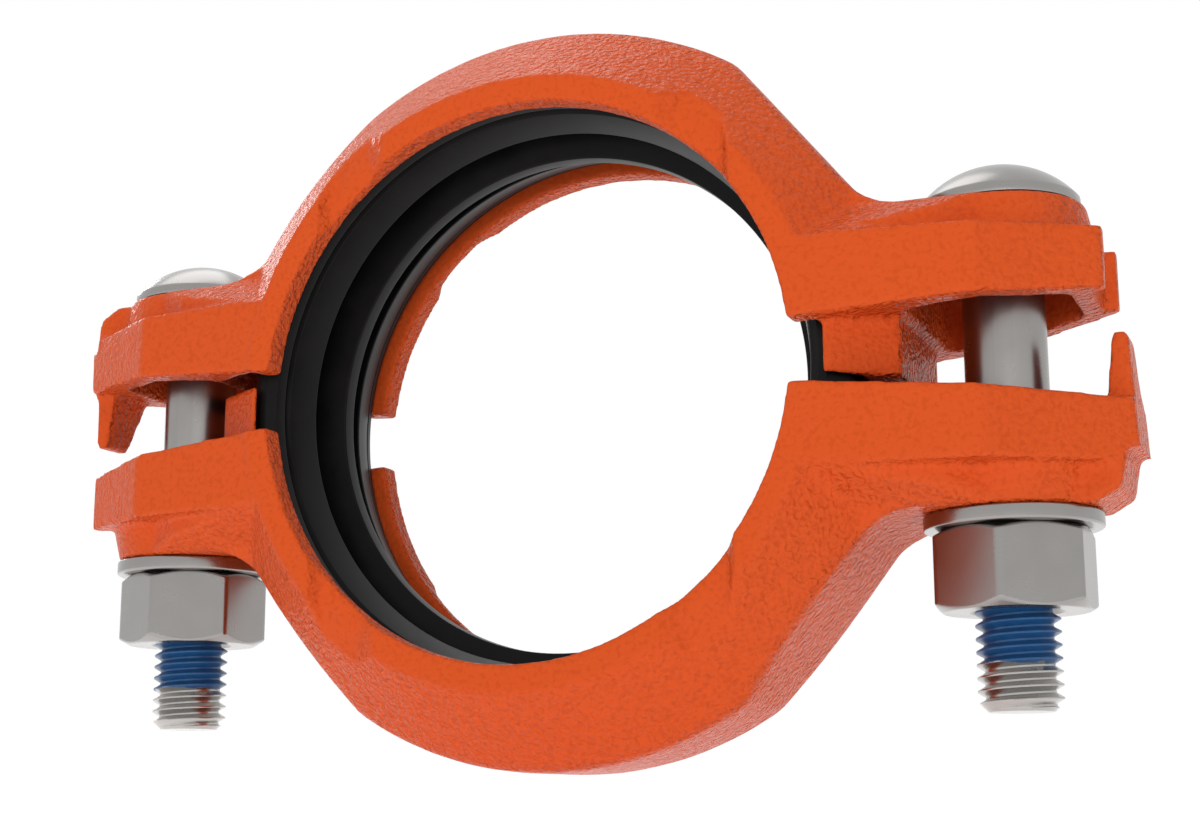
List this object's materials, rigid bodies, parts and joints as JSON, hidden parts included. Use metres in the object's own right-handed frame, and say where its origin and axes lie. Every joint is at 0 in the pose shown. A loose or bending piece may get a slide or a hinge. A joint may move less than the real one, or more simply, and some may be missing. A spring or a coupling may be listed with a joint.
{
  "type": "rigid grooved pipe coupling",
  "caption": "Bolted split-housing coupling with a rubber gasket that joins grooved steel pipe ends rigidly, stored as delivered with its housings held apart.",
  "frame": {"origin": "centre of the pipe bore, midway between the two housings, where the two pipe ends meet", "axes": "+X across the two bolts, +Y along the pipe, +Z along the bolts towards their heads"},
  "size_m": [0.1872, 0.045, 0.1234],
  "materials": {
    "housing_paint": "satin orange enamel on cast iron",
    "gasket_rubber": "smooth moulded",
    "plated_steel": "satin zinc plate"
  },
  "bodies": {
    "lower_body": {"lower_housing": "housing_paint", "gasket": "gasket_rubber", "left_washer": "plated_steel", "right_washer": "plated_steel"},
    "upper_body": {"upper_housing": "housing_paint", "left_bolt": "plated_steel", "right_bolt": "plated_steel"},
    "left_nut_body": {"left_nut": "plated_steel"},
    "right_nut_body": {"right_nut": "plated_steel"}
  },
  "joints": [
    {"name": "housings_close", "type": "slide", "parent": "lower_body", "child": "upper_body", "axis": [0, 0, -1], "range_m": [0, 0.0092], "deforming": ["gasket"]},
    {"name": "left_nut_turn", "type": "hinge", "parent": "lower_body", "child": "left_nut_body", "pos_m": [-0.0735, 0, -0.0322], "axis": [0, 0, 1], "range_deg": [0, 1700]},
    {"name": "right_nut_turn", "type": "hinge", "parent": "lower_body", "child": "right_nut_body", "pos_m": [0.0735, 0, -0.0322], "axis": [0, 0, 1], "range_deg": [0, 1700]}
  ],
  "couplings": [
    {"joint": "left_nut_turn", "follows": "housings_close", "rad_per_m": 3215.9},
    {"joint": "right_nut_turn", "follows": "housings_close", "rad_per_m": 3215.9}
  ]
}
